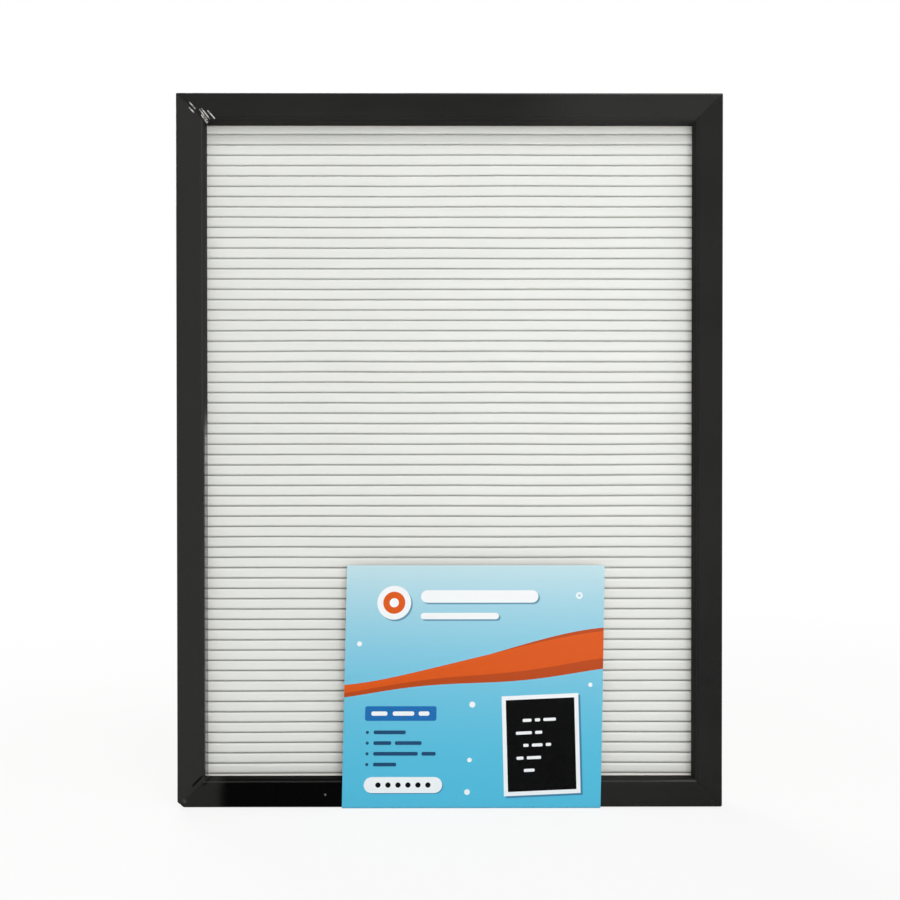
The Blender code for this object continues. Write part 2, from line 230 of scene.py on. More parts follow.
def new_finish(name, **uniform):
    """A material, and a point on its surface in millimetres. Uniform values sit on the shader itself."""
    material = bpy.data.materials.new(name)
    material.use_nodes = True
    connect(material, **uniform)
    place = add_node(material, "TexCoord").outputs["Object"]
    return material, add_node(material, "VectorMath", place, 1 / MM, operation="SCALE")


def connect(material, **values):
    """Gives values to the inputs of the material's shader, each under its name with _ for a space."""
    shader = material.node_tree.nodes["Principled BSDF"]
    for name, value in values.items():
        feed(material.node_tree, shader.inputs[name.replace("_", " ")], value)


def grain(material, point, x, y=None, z=None, **settings):
    """Noise from 0 to 1 with grains of the given lengths in millimetres."""
    sizes = (1 / x, 1 / (y or x), 1 / (z or x))
    scaled = add_node(material, "VectorMath", point, sizes, operation="MULTIPLY")
    return add_node(material, "TexNoise", scaled, Scale=1.0, **settings)


def overlap(material, *shares):
    """1 only where all the shares are 1."""
    shares = list(shares)
    both = shares.pop()
    while shares:
        both = add_node(material, "Math", shares.pop(), both, operation="MULTIPLY")
    return both


def edge_distance(material, x, z):
    """Distances in millimetres from the frame's nearest side edge and from its nearest end edge."""
    from_middle = add_node(material, "Math", x, operation="ABSOLUTE")
    side = add_node(material, "Math", HALF_WIDTH / MM, from_middle, operation="SUBTRACT")
    height = add_node(material, "Math", z, MIDDLE_Z / MM, operation="SUBTRACT")
    from_middle = add_node(material, "Math", height, operation="ABSOLUTE")
    end = add_node(material, "Math", HALF_HEIGHT / MM, from_middle, operation="SUBTRACT")
    return side, end


# Finishes


def foil_wrapped_fibreboard():
    """Black PVC foil, hot-pressed round brown fibreboard: a satin black with a fine orange peel, rubbed
    dull in places by handling, painted lighter in places as a painted sheen and painted near-black on a
    glossier stretch as a painted dark reflection. The bare board shows in the rabbet, in the mitres and on
    the back."""
    material, point = new_finish(
        "pvc_foil_pressed_on_fibreboard", IOR=1.54, Coat_Roughness=0.06, Coat_IOR=1.55
    )
    add = partial(add_node, material)
    x, y, z = add("SeparateXYZ", point).outputs
    side, end = edge_distance(material, x, z)
    edge = add("Math", side, end, operation="MINIMUM")
    along = add("Math", side, end, operation="ADD")
    across = add("Math", side, end, operation="SUBTRACT")
    inner_edge = RAIL_FACE / MM
    past_edge = inner_edge + 0.2

    soft = grain(material, point, 60, Detail=1.0)
    soft = add("MapRange", soft, 0.35, 0.65, interpolation_type="SMOOTHSTEP")
    streaks = grain(material, point, 90, 6, 4)
    streaks = add("Math", streaks, 0.3, operation="MULTIPLY")
    foil = add("Mix", soft, "#232323", "#272726", data_type="RGBA")
    foil = add("Mix", streaks, foil, "#2E2E2B", data_type="RGBA")

    # Painted sheen: the foil is painted a little lighter on the left rail and at the right end of the top
    # rail
    on_side_rail = add("Math", across, 0, operation="LESS_THAN")
    left = add("Math", x, 0, operation="LESS_THAN")
    lower = add("Math", z, MIDDLE_Z / MM, operation="LESS_THAN")
    right_end = add("MapRange", x, 30, 85, interpolation_type="SMOOTHSTEP")
    painted_sheen_left = overlap(material, on_side_rail, left)
    off_top_rail = add("Math", on_side_rail, lower, operation="MAXIMUM")
    on_top_rail = add("Math", 1, off_top_rail, operation="SUBTRACT")
    painted_sheen_top = overlap(material, on_top_rail, right_end)
    painted_sheen = add("Math", painted_sheen_left, painted_sheen_top, operation="MAXIMUM")
    foil = add("Mix", painted_sheen, foil, "#30302F", data_type="RGBA")

    # A stretch of the bottom rail, left of the card, is glossier and painted nearly black: a painted dark
    # reflection
    wobble = add("Math", grain(material, point, 9), 5, -2.5, operation="MULTIPLY_ADD")
    shifted = add("Math", x, wobble, operation="ADD")
    starts = add("MapRange", shifted, *PAINTED_BLACK_START, interpolation_type="SMOOTHSTEP")
    stops = add("MapRange", x, *PAINTED_BLACK_STOP, interpolation_type="SMOOTHSTEP")
    low_rail = add("Math", end, past_edge, operation="LESS_THAN")
    in_front = add("Math", y, (FRONT_Y + LIP_DEPTH) / MM, operation="LESS_THAN")
    glossy_painted_black = overlap(material, starts, stops, low_rail, in_front, lower)
    foil = add("Mix", glossy_painted_black, foil, "#020202", data_type="RGBA")

    # Dark lines beside the lower left mitre, painted as dark reflections, and light specks on the bottom
    # rail
    for middle, start, stop in PAINTED_DARK_LINES:
        away = add("Math", add("Math", across, middle, operation="SUBTRACT"), operation="ABSOLUTE")
        line = add("MapRange", away, 1.3, 0.4)
        length = overlap(
            material, add("MapRange", along, start, start + 3), add("MapRange", along, stop, stop - 3)
        )
        foil = add("Mix", overlap(material, line, length, left, lower), foil, "#060606", data_type="RGBA")
    flat = add("VectorMath", point, (1, 0, 1), operation="MULTIPLY")
    for speck_x, speck_z, radius, strength in SPECKS:
        away = add("VectorMath", flat, (speck_x, 0, speck_z), operation="DISTANCE")
        speck = overlap(material, add("MapRange", away, radius, radius / 3), strength)
        foil = add("Mix", speck, foil, "#B9B9B2", data_type="RGBA")

    # Bare fibreboard where the foil ends: in the rabbet, on the mitre cuts, and behind, inside the
    # strip that is turned over
    ragged = add("Math", grain(material, point, 22), 0.5, operation="SUBTRACT")
    foil_end = add("Math", ragged, -1.2, FOIL_TURNOVER / MM, operation="MULTIPLY_ADD")
    past_foil = add("Math", edge, foil_end, operation="GREATER_THAN")
    behind = add("Math", y, BACK_Y / MM - 0.35, operation="GREATER_THAN")
    past_lip = add("Math", y, (FRONT_Y + LIP_DEPTH) / MM - 0.5, operation="GREATER_THAN")
    in_rabbet = add("Math", edge, RAIL_WALL / MM - 0.25, operation="GREATER_THAN")
    mitre_distance = add("Math", across, operation="ABSOLUTE")
    on_cut = add("Math", mitre_distance, MITRE_CUT_SEEN / MM, operation="LESS_THAN")
    bare_back = overlap(material, behind, past_foil)
    bare_rabbet = overlap(material, past_lip, in_rabbet)
    bare = add("Math", bare_back, bare_rabbet, operation="MAXIMUM")
    bare = add("Math", bare, on_cut, operation="MAXIMUM")
    fibres = grain(material, point, 1.6, 0.5, 0.9, Detail=4.0, Roughness=0.7)
    board = add("Mix", fibres, "#6E4A2B", "#A87F52", data_type="RGBA")
    # Painted shade: the board on the mitre cuts is painted near-black, as the shade inside the mitre gap
    board = add("Mix", on_cut, board, "#1A1512", data_type="RGBA")
    colour = add("Mix", bare, foil, board, data_type="RGBA")

    gloss = add("MapRange", grain(material, point, 35), 0.3, 0.7, 0.14, 0.2)
    gloss = add("Mix", glossy_painted_black, gloss, 0.08)
    gloss = add("Mix", bare, gloss, 0.92)

    # The gloss of the foil is rubbed off the frame's inner edge, but for the lower half of the left rail
    by_lip = add("MapRange", edge, inner_edge - 1.6, inner_edge - 0.4)
    in_foil = add("Math", edge, past_edge, operation="LESS_THAN")
    fade = ((RUBBED_Z + RUBBED_FADE) / MM, (RUBBED_Z - RUBBED_FADE) / MM)
    low = add("MapRange", z, *fade, interpolation_type="SMOOTHSTEP")
    spared = overlap(material, on_side_rail, left, low)
    handled = add("Math", 1, spared, operation="SUBTRACT")
    rubbed = overlap(material, by_lip, in_foil, handled)
    gloss = add("Mix", rubbed, gloss, 0.9)
    specular = add("Mix", rubbed, 0.5, 0.15)
    foiled = add("Math", 1, bare, operation="SUBTRACT")
    fresh = add("Math", 1, rubbed, operation="SUBTRACT")
    coat = overlap(material, foiled, fresh, COAT_WEIGHT)

    # Orange peel of the foil, and the fibres of the bare board
    peel = grain(material, point, 1.1)
    relief = add("Bump", Strength=0.08, Distance=0.04 * MM, Height=peel)
    rough_board = overlap(material, fibres, bare)
    relief = add("Bump", Strength=0.6, Distance=0.15 * MM, Height=rough_board, Normal=relief)
    connect(material, Base_Color=colour, Roughness=gloss, Specular_IOR_Level=specular)
    connect(material, Coat_Weight=coat, Normal=relief)
    return material


def foil_painted_glints():
    """Black PVC foil for the pleats, painted pale in uneven grey-white streaks: a painted glint along each
    pleat."""
    material, point = new_finish("pvc_foil_painted_glints", IOR=1.54)
    add = partial(add_node, material)
    glint_noise = grain(material, point, 1.5)
    painted_glint = add("MapRange", glint_noise, 0.3, 0.65, interpolation_type="SMOOTHSTEP")
    # Painted glints: the pleats' foil is painted grey-white in streaks
    pale = add("Mix", painted_glint, "#6E6E6A", "#D2D2CC", data_type="RGBA")
    rough = add("MapRange", glint_noise, 0.3, 0.7, 0.25, 0.4)
    relief = add("Bump", Strength=0.3, Distance=0.04 * MM, Height=glint_noise)
    connect(material, Base_Color=pale, Roughness=rough, Normal=relief)
    return material


def extruded_polystyrene():
    """White polystyrene, drawn through a die: a satin white with faint lines along each rib, soft clouds
    of gloss, and painted shade in the slots that grows darker towards the bottom."""
    material, point = new_finish("extruded_white_polystyrene", IOR=1.55)
    add = partial(add_node, material)
    _, y, z = add("SeparateXYZ", point).outputs
    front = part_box("letter_panel")[0].y / MM
    lines = grain(material, point, 120, 0.8, 0.45)
    clouds = grain(material, point, 45, 20, 9)
    cloudy = add("MapRange", clouds, 0.25, 0.75)
    drawn = add("MapRange", lines, 0.5, 0.8, 0, 0.15)
    white = add("Mix", cloudy, "#E7E8E4", "#EBECE8", data_type="RGBA")
    white = add("Mix", drawn, white, "#D9DAD5", data_type="RGBA")
    # Painted shade in the slots, darker towards the bottom of the panel
    in_slot = add("MapRange", y, front + 0.9, front + 2.1, interpolation_type="SMOOTHSTEP")
    shade_by_height = add("MapRange", z, 0, 2 * MIDDLE_Z / MM, 0.7, 0.05)
    slot_shade_painted = overlap(material, in_slot, shade_by_height)
    white = add("Mix", slot_shade_painted, white, "#A3A49D", data_type="RGBA")
    gloss = add("MapRange", clouds, 0.3, 0.7, 0.3, 0.34)
    relief = add("Bump", Strength=0.12, Distance=0.06 * MM, Height=lines)
    dents = grain(material, point, 30, 8, 6)
    relief = add("Bump", Strength=0.03, Distance=0.2 * MM, Height=dents, Normal=relief)
    connect(material, Base_Color=white, Roughness=gloss, Normal=relief)
    return material


def pressed_hardboard():
    """Brown hardboard, pressed on a wire mesh: dark and light fibres in soft patches, with a small square
    grid in relief."""
    material, point = new_finish("pressed_hardboard", IOR=1.45)
    add = partial(add_node, material)
    x, _, z = add("SeparateXYZ", point).outputs
    mesh_pitch = 1.3  # millimetres; the real wire mesh is 1 mm, which is too fine to show
    waves = []
    for axis in (x, z):
        turned = add("Math", axis, math.tau / mesh_pitch, operation="MULTIPLY")
        waves.append(add("Math", turned, operation="SINE"))
    grid = add("Math", *waves, operation="MAXIMUM")
    fibres = grain(material, point, 2.4, 2.4, 0.8, Detail=5.0, Roughness=0.65)
    patches = grain(material, point, 40, Detail=3.0)
    chips = grain(material, point, 3, 3, 1.6, Detail=1.0)
    patchy = add("MapRange", patches, 0.35, 0.7, 0, 0.6)
    chipped = add("MapRange", chips, 0.6, 0.75, 0, 0.3)
    pressed = add("MapRange", grid, 0.7, 1, 0, 0.35)
    brown = add("Mix", fibres, "#5B3D25", "#8F6842", data_type="RGBA")
    brown = add("Mix", patchy, brown, "#74502F", data_type="RGBA")
    brown = add("Mix", chipped, brown, "#9A744A", data_type="RGBA")
    brown = add("Mix", pressed, brown, "#3F2A19", data_type="RGBA")
    relief = add("Bump", Strength=0.5, Distance=0.15 * MM, Height=grid)
    relief = add("Bump", Strength=0.4, Distance=0.1 * MM, Height=fibres, Normal=relief)
    rough = add("MapRange", fibres, 0.2, 0.8, 0.7, 0.9)
    connect(material, Base_Color=brown, Roughness=rough, Normal=relief)
    return material


def zinc_plated_steel():
    """Stamped steel sheet with a thin bright zinc plating: pale blue-grey, with rolling lines and dull
    spots."""
    material, point = new_finish("zinc_plated_steel", Metallic=1.0)
    add = partial(add_node, material)
    rolled = grain(material, point, 6, 0.3, 0.25)
    spots = grain(material, point, 2.2, Detail=3.0)
    dull = add("MapRange", spots, 0.55, 0.75, 0, 0.6)
    metal = add("Mix", rolled, "#A9ADB1", "#CDD0D2", data_type="RGBA")
    metal = add("Mix", dull, metal, "#8C8F90", data_type="RGBA")
    rough = add("MapRange", spots, 0.3, 0.75, 0.28, 0.5)
    relief = add("Bump", Strength=0.2, Distance=0.03 * MM, Height=rolled)
    connect(material, Base_Color=metal, Roughness=rough, Normal=relief)
    return material


def coated_print(name, shades):
    """One ink printed on coated board: an even colour with a slight mottle under a satin varnish, and the
    board's soft unevenness. Two shades run from the top of the card to its foot."""
    material, point = new_finish(name, IOR=1.4)
    add = partial(add_node, material)
    _, _, z = add("SeparateXYZ", point).outputs
    top, foot = shades
    height = add("MapRange", z, 0, CARD_HEIGHT / MM)
    fading = add("Math", height, SHADE_FADING, operation="POWER")
    ink = add("Mix", fading, foot, top, data_type="RGBA")
    mottle = grain(material, point, 0.9)
    mottled = add("MapRange", mottle, 0.4, 0.8, 0, 0.007)
    ink = add("Mix", mottled, ink, "#FFFFFF", data_type="RGBA")

    # The ink has cracked a little where the board is folded round the rail
    fold = add("MapRange", z, 1.4, 0.3)
    cracks = add("MapRange", grain(material, point, 0.8, 0.8, 0.3, Detail=3.0), 0.56, 0.66)
    cracked = overlap(material, fold, cracks, 0.7)
    ink = add("Mix", cracked, ink, "#E9E7E0", data_type="RGBA")
    clouds = grain(material, point, 30)
    gloss = add("MapRange", clouds, 0.3, 0.7, 0.3, 0.4)
    relief = add("Bump", Strength=0.08, Distance=0.05 * MM, Height=mottle)
    relief = add("Bump", Strength=0.15, Distance=1.2 * MM, Height=clouds, Normal=relief)
    connect(material, Base_Color=ink, Roughness=gloss, Normal=relief)
    return material


def bare_board():
    """The card's uncoated side and cut edges: warm grey-white with short fibres."""
    material, point = new_finish("uncoated_grey_board", IOR=1.45)
    add = partial(add_node, material)
    fibres = grain(material, point, 0.7, 0.7, 1.4, Detail=4.0, Roughness=0.7)
    specks = grain(material, point, 0.5, Detail=1.0)
    specked = add("MapRange", specks, 0.68, 0.74, 0, 0.6)
    board = add("Mix", fibres, "#C9C5BA", "#DEDBD1", data_type="RGBA")
    board = add("Mix", specked, board, "#8F8A7E", data_type="RGBA")
    relief = add("Bump", Strength=0.4, Distance=0.06 * MM, Height=fibres)
    rough = add("MapRange", fibres, 0.2, 0.8, 0.8, 0.92)
    connect(material, Base_Color=board, Roughness=rough, Normal=relief)
    return material


def dried_glue():
    """Wood glue in the mitre gaps, painted near-black as painted shade of the gap: a dull dark line with
    small lumps.
    """
    material, point = new_finish("wood_glue_painted_dark", IOR=1.47)
    add = partial(add_node, material)
    lumps = grain(material, point, 0.8)
    # Painted shade: the glue is painted near-black, like the shade inside the mitre gap
    colour = add("Mix", lumps, "#1A1918", "#2A2927", data_type="RGBA")
    rough = add("MapRange", lumps, 0.2, 0.8, 0.6, 0.8)
    relief = add("Bump", Strength=0.3, Distance=0.05 * MM, Height=lumps)
    connect(material, Base_Color=colour, Roughness=rough, Normal=relief)
    return material


# Meshes


def new_mesh(name, vertices, faces, materials):
    """A mesh object in the scene, with its materials in order."""
    mesh = bpy.data.meshes.new(name)
    mesh.from_pydata(vertices, [], faces)
    for material in materials:
        mesh.materials.append(material)
    made = bpy.data.objects.new(name, mesh)
    bpy.context.scene.collection.objects.link(made)
    return made


def new_piece(name, vertices, faces, materials, node=None):
    """A mesh that rides on the board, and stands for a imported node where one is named."""
    piece = new_mesh(name, vertices, faces, materials)
    piece.data.shade_smooth()
    piece.data.set_sharp_from_angle(angle=SHARP_ABOVE)
    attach(piece, "root")
    if node:
        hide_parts(node)
    return piece


def bridge(count, stations):
    """Faces of a closed bar: each ring of count points is joined to the next, and the ends are capped."""
    last = (stations - 1) * count
    faces = [tuple(reversed(range(count))), tuple(range(last, last + count))]
    for start in range(0, last, count):
        for place in range(count):
            following = (place + 1) % count
            ahead = start + count
            faces.append((start + place, start + following, ahead + following, ahead + place))
    return faces


def slot_section(number, middle):
    """Points from the rib above a slot to the rib below: how deep, how high, which slot and which rib."""
    above, below = [], []
    for step in range(SHOULDER_STEPS + 1):
        angle = math.pi / 2 * step / SHOULDER_STEPS
        drop = SHOULDER_DROP * (1 - math.cos(angle))
        reach = SLOT_WIDTH / 2 + SHOULDER_RUN * (1 - math.sin(angle))
        above.append((drop, middle + reach, number, number))
        below.append((drop, middle - reach, number, number + 1))
    floor = [
        (SLOT_DEPTH, middle + SLOT_WIDTH / 2, number, None),
        (SLOT_DEPTH, middle - SLOT_WIDTH / 2, number, None),
    ]
    return [*above, *floor, *reversed(below)]


def swell(x, row, length):
    """A smooth wave from -1 to 1 along X, nearly alike on neighbouring rows."""
    return noise.noise(Vector((x / length, row * SWELL_ROW_STEP, SWELL_PLACE)))


def panel_point(x, front, point):
    """Where a point of the section lies at x: slots sway up and down, and ribs sink in here and there."""
    depth, height, slot, rib = point
    if slot is not None:
        height += SLOT_SWAY * swell(x, slot, SLOT_SWAY_LENGTH)
    if rib is not None:
        depth += RIB_SINK * (0.5 + 0.5 * swell(x, rib * 3, RIB_SINK_LENGTH))
    return (x, front + depth, height)


def build_letter_panel(plastic):
    """The panel, drawn along X from one section of all its ribs and slots, which changes a little."""
    low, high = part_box("letter_panel")
    thick = high.y - low.y
    section = [(thick, high.z, None, None), (0, high.z, None, None)]
    for number in range(SLOT_COUNT):
        section += slot_section(number, high.z - FIRST_SLOT - number * SLOT_PITCH)
    section += [(0, low.z, None, None), (thick, low.z, None, None)]
    vertices = []
    for station in range(PANEL_STATIONS + 1):
        x = low.x + (high.x - low.x) * station / PANEL_STATIONS
        vertices += [panel_point(x, low.y, point) for point in section]
    faces = bridge(len(section), PANEL_STATIONS + 1)
    new_piece("ribbed_letter_panel", vertices, faces, [plastic], "letter_panel")


def arc(centre_y, centre_z, radius, start, end):
    """Points of an arc in the side view, as depth and height."""
    points = []
    for step in range(ARC_STEPS + 1):
        angle = math.radians(start + (end - start) * step / ARC_STEPS)
        points.append(Vector((centre_y + radius * math.cos(angle), centre_z + radius * math.sin(angle))))
    return points


def card_lines():
    """The card's inner and outer face in the side view, from its top in front to its top behind."""
    front, back = FRONT_Y - CARD_GAP, BACK_Y + CARD_GAP
    rail_top = FOOT_Z + RAIL_FACE
    card_top = FOOT_Z - CARD_GAP + CARD_HEIGHT
    inner = []
    for step in range(CARD_LEAN_STEPS, -1, -1):
        share = step / CARD_LEAN_STEPS
        lean = CARD_LEAN * share**CARD_LEAN_POWER
        inner.append(Vector((front + lean, rail_top + (card_top - rail_top) * share)))
    inner += arc(FRONT_Y + OUTER_ROUND, FOOT_Z + OUTER_ROUND, OUTER_ROUND + CARD_GAP, 180, 270)
    inner += arc(BACK_Y - BACK_ROUND, FOOT_Z + BACK_ROUND, BACK_ROUND + CARD_GAP, 270, 360)
    inner.append(Vector((back, FOOT_Z - CARD_GAP + CARD_BACK_HEIGHT)))
    outer = []
    for place, point in enumerate(inner):
        before = inner[place] - inner[place - 1] if place else inner[1] - inner[0]
        after = inner[place + 1] - point if place + 1 < len(inner) else before
        normals = [Vector((step.y, -step.x)).normalized() for step in (before, after)]
        middle = (normals[0] + normals[1]).normalized()
        outer.append(point + middle * CARD_SHEET / middle.dot(normals[0]))
    return inner, outer


def card_heights(outer):
    """Each point's place on the flat card, in millimetres up from the fold at its foot in front."""
    heights = [CARD_HEIGHT / MM]
    for start, end in zip(outer, outer[1:]):
        heights.append(heights[-1] - (end - start).length / MM)
    return heights


# Print of the card, in millimetres from its left edge and from the fold at its foot


def bar(x, y, width, height, radius=0.0, tilt=0.0):
    """A bar about its middle, with round corners where radius is given, tilted in degrees."""
    points = []
    for x_sign, y_sign, start in ((1, 1, 0), (-1, 1, 90), (-1, -1, 180), (1, -1, 270)):
        corner = Vector((x_sign * (width / 2 - radius), y_sign * (height / 2 - radius)))
        steps = 6 if radius else 0
        for step in range(steps + 1):
            angle = math.radians(start + 90 * step / max(steps, 1))
            points.append(corner + radius * Vector((math.cos(angle), math.sin(angle))))
    turn = math.radians(tilt)
    cos, sin = math.cos(turn), math.sin(turn)
    return [(x + point.x * cos - point.y * sin, y + point.x * sin + point.y * cos) for point in points]


def disc(x, y, radius, sides=20):
    """A round dot about its middle."""
    angles = [math.tau * side / sides for side in range(sides)]
    return [(x + radius * math.cos(angle), y + radius * math.sin(angle)) for angle in angles]


def wave_band(low_left, high_left, low_right, high_right, swing):
    """A band across the whole card between two smooth S-curves."""
    width, steps = CARD_WIDTH / MM, 24
    lower, upper = [], []
    for step in range(steps + 1):
        share = step / steps
        rise = (1 - math.cos(math.pi * share)) / 2
        x = width * share
        wave = swing * math.sin(math.tau * share)
        lower.append((x, low_left + (low_right - low_left) * rise + wave))
        upper.append((x, high_left + (high_right - high_left) * rise + wave * 0.6))
    return [*lower, *reversed(upper)]


def card_print():
    """The printed shapes in painter's order, each with the name of its ink."""
    width = CARD_WIDTH / MM
    shapes = []
    shapes.append(("deep_orange", wave_band(62, 66, 78, 101, 3.2)))
    shapes.append(("bright_orange", wave_band(64.5, 69, 84, 99, 3.2)))

    # Head of the card: a ring and two bars, each with its shade
    for ink, dx, dy in (("shade_blue", 0.9, -0.9), ("white", 0, 0)):
        shapes.append((ink, disc(27 + dx, 115 + dy, 9.5, 40)))
        shapes.append((ink, bar(75 + dx, 118.5 + dy, 66, 7, 3.5)))
        shapes.append((ink, bar(64 + dx, 107.5 + dy, 44, 3.6, 1.8)))
    shapes.append(("bright_orange", disc(27, 115, 6.2, 32)))
    shapes.append(("white", disc(27, 115, 2.6, 24)))

    # A small dark panel in a white frame, with rows of short dashes
    panel_x, panel_y, tilt = 111, 35.5, 2.5
    turn = math.radians(tilt)
    shapes.append(("shade_blue", bar(panel_x + 1.2, panel_y - 1.1, 43, 56, 0, tilt)))
    shapes.append(("white", bar(panel_x, panel_y, 43, 56, 0, tilt)))
    shapes.append(("near_black", bar(panel_x, panel_y, 38.4, 51.4, 0, tilt)))
    rows = ((14, (5, 3, 7)), (7, (9, 4)), (0, (3, 6, 3)), (-7, (4, 8)), (-14, (6,)))
    for height, dashes in rows:
        start = -14.0 if height % 2 else -10.0
        for dash in dashes:
            along = start + dash / 2
            x = panel_x + along * math.cos(turn) - height * math.sin(turn)
            y = panel_y + along * math.sin(turn) + height * math.cos(turn)
            shapes.append(("white", bar(x, y, dash, 1.7, 0.6, tilt)))
            start += dash + 1.8

    # A list of short lines under a heading bar, and a white pill below them
    shapes.append(("strong_blue", bar(32, 53, 40, 8.2, 1.2)))
    for x, length in ((20, 9), (33.5, 12), (45, 6)):
        shapes.append(("white", bar(x, 53, length, 2.4, 1)))
    for row, lengths in enumerate(((18,), (10, 15), (25, 8), (13,))):
        y = 42.5 - row * 6
        shapes.append(("navy", disc(13.5, y, 0.9, 16)))
        start = 17.0
        for length in lengths:
            shapes.append(("navy", bar(start + length / 2, y, length, 2.1, 0.8)))
            start += length + 2
    shapes.append(("shade_blue", bar(34.6, 12.5, 44, 9, 4.5)))
    shapes.append(("white", bar(34, 13, 44, 9, 4.5)))
    for place in range(6):
        shapes.append(("near_black", disc(20 + place * 5.6, 13, 1.5, 18)))

    # Loose white dots, one of them with a pale middle
    dots = ((131, 119, 1.9), (8, 92, 1.4), (72, 58, 1.7), (71, 27, 1.3), (138, 69, 1.2), (70, 9, 1.6))
    for x, y, radius in dots:
        shapes.append(("white", disc(x, y, radius)))
    shapes.append(("pale_blue", disc(131, 119, 0.9, 16)))

    # The part behind the board: two white fields, one with lines and one with bars, and a blue line
    behind = -(CARD_BACK_HEIGHT / MM) / 2 - 16
    shapes.append(("white", bar(46, behind, 62, 38, 2)))
    shapes.append(("white", bar(112, behind, 44, 38, 2)))
    for row in range(5):
        shapes.append(("navy", bar(40, behind + 12 - row * 6, 42 - 5 * (row % 3), 1.3, 0.5)))
    for column in range(14):
        shapes.append(("near_black", bar(95 + column * 2.5, behind, 0.7 + 0.5 * (column % 3), 20)))
    shapes.append(("strong_blue", bar(width / 2, behind - 24, width - 12, 1.4, 0.5)))
    return shapes


# Each ink, as its shade at the top of the card and at its foot
INKS = {
    "sky_blue": ("#BFDEE6", "#51BDDE"),
    "bright_orange": ("#E05A02", "#DB5400"),
    "deep_orange": ("#C64A04", "#B84400"),
    "strong_blue": ("#1277C0", "#0F6CB4"),
    "shade_blue": ("#6E9DB4", "#3F83A8"),
    "pale_blue": ("#A9D8E8", "#8CCBE2"),
    "navy": ("#1C4E78", "#1A4A74"),
    "near_black": ("#0C0C0D", "#0A0A0B"),
    "white": ("#F4F6F7", "#F1F4F6"),
}


def cut_sheet(shapes, heights):
    """Triangles of the flat card, each with the ink of the last shape that covers it."""
    width = CARD_WIDTH / MM
    points = [(0, heights[-1]), (width, heights[-1]), (width, heights[0]), (0, heights[0])]
    outlines = [[0, 1, 2, 3]]
    creases = []
    for height in heights[1:-1]:
        creases.append((len(points), len(points) + 1))
        points += [(0, height), (width, height)]
    for _, outline in shapes:
        outlines.append(list(range(len(points), len(points) + len(outline))))
        points += outline
    corners = [Vector(point) for point in points]
    kept_inside = 1  # keeps only the triangles inside the outlines
    nearness = 1e-4
    result = delaunay_2d_cdt(corners, creases, outlines, kept_inside, nearness)
    flat, triangles, covers = result[0], result[2], result[5]
    inks = ["sky_blue", *(ink for ink, _ in shapes)]
    return flat, triangles, [inks[max(cover)] for cover in covers]


def build_label_card():
    """The card: a printed outer face, a bare inner face a sheet's thickness behind it, and cut edges."""
    inner, outer = card_lines()
    heights = card_heights(outer)
    flat, triangles, inks = cut_sheet(card_print(), heights)
    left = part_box("label_card")[0].x

    def bent(point, line):
        """A point of the flat card on one of its bent faces."""
        for place in range(len(heights) - 1):
            if point.y >= heights[place + 1] - 1e-6 or place == len(heights) - 2:
                span = heights[place] - heights[place + 1]
                share = min(max((heights[place] - point.y) / span, 0), 1)
                y, z = line[place].lerp(line[place + 1], share)
                return (left + point.x * MM + CARD_SKEW * z / CARD_HEIGHT, y, z)

    count = len(flat)
    vertices = [bent(point, outer) for point in flat] + [bent(point, inner) for point in flat]
    names = list(INKS)
    faces, finishes = [], []
    for triangle, ink in zip(triangles, inks):
        faces.append(tuple(triangle))
        finishes.append(names.index(ink))
        faces.append(tuple(count + corner for corner in reversed(triangle)))
        finishes.append(len(names))

    # A side that only one triangle has is on the sheet's edge, and gets a cut edge behind it
    sides = dict.fromkeys(
        side for triangle in triangles for side in zip(triangle, [*triangle[1:], triangle[0]])
    )
    for start, end in sides:
        if (end, start) not in sides:
            faces.append((end, start, count + start, count + end))
            finishes.append(len(names))
    materials = [coated_print(f"{ink}_ink_on_coated_board", INKS[ink]) for ink in names]
    card = new_piece(
        "printed_label_card", vertices, faces, [*materials, bare_board()], "label_card"
    )
    for polygon, finish in zip(card.data.polygons, finishes):
        polygon.material_index = finish


def build_glue_lines(glue):
    """A thin line of dark glue in each mitre of the frame, a little below the foil on either side."""
    across = Vector((1, 1)).normalized() * (MITRE_GAP / 2 - GLUE_CLEAR)
    for x_sign in (-1, 1):
        for z_sign in (-1, 1):
            worn = CORNER_BRUISE if (x_sign, z_sign) == (-1, -1) else CORNER_WEAR
            section = (
                (worn + GLUE_SUNK, GLUE_SUNK + GLUE_END_DROP),
                (worn + GLUE_END_RUN, GLUE_SUNK),
                (RAIL_FACE - INNER_ROUND, GLUE_SUNK),
                (RAIL_FACE - 0.3 * INNER_ROUND, 0.3 * INNER_ROUND),
                (RAIL_FACE - GLUE_SUNK, INNER_ROUND),
                (RAIL_FACE - GLUE_SUNK, LIP_DEPTH - BACK_ROUND),
                (RAIL_WALL - GLUE_SUNK, LIP_DEPTH - GLUE_SUNK),
                (RAIL_WALL - GLUE_SUNK, GLUE_DEPTH),
                (worn + GLUE_SUNK, GLUE_DEPTH),
            )
            vertices = []
            for turn in (1, -1):
                for inward, depth in section:
                    x = x_sign * (HALF_WIDTH - inward + turn * across.x)
                    z = MIDDLE_Z + z_sign * (HALF_HEIGHT - inward - turn * across.y)
                    vertices.append((x, FRONT_Y + depth, z))
            faces = bridge(len(section), 2)
            if x_sign * z_sign > 0:
                faces = [tuple(reversed(face)) for face in faces]
            name = f"glue_line_{'bottom' if z_sign < 0 else 'top'}_{'left' if x_sign < 0 else 'right'}"
            new_piece(name, vertices, faces, [glue])


def face_depth(inward):
    """How far the foil's face lies behind the front of the frame, at a distance in from the outer edge."""
    past = max(inward - (RAIL_FACE - INNER_ROUND), 0)
    return INNER_ROUND - math.sqrt(max(INNER_ROUND**2 - past**2, 0))


